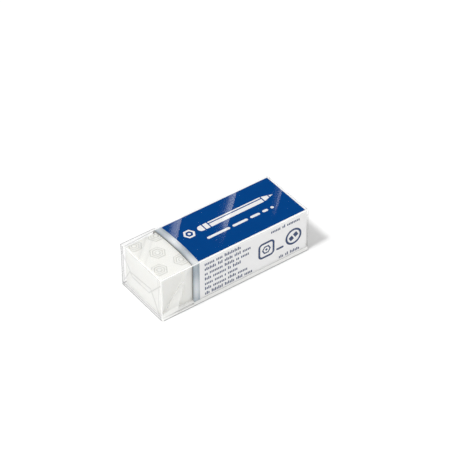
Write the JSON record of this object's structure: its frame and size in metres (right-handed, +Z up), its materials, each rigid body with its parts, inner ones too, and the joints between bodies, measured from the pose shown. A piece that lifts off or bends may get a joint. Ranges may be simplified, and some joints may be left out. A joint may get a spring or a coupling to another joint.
{
  "type": "rubber eraser",
  "caption": "White vinyl block eraser in a folded card sleeve with blue fields and a silver band, overwrapped in clear film with envelope-folded ends.",
  "frame": {"origin": "middle of the wrapped block's underside", "axes": "+X along the length, towards the end that the sleeve covers; +Y towards the back, where the film's lap seam runs; +Z up, out of the broad face with the blue field"},
  "size_m": [0.043, 0.0164, 0.0124],
  "materials": {
    "white_vinyl": "matte",
    "white_card": "satin",
    "silver_ink": "satin",
    "blue_ink": "gloss",
    "dark_blue_ink": "satin",
    "clear_film": "gloss"
  },
  "bodies": {
    "root": {"eraser_block": "white_vinyl", "card_sleeve": "white_card", "silver_band": "silver_ink", "top_blue_field": "blue_ink", "bottom_blue_field": "blue_ink", "front_marks": "dark_blue_ink", "film_wrapper": "clear_film"}
  },
  "joints": []
}
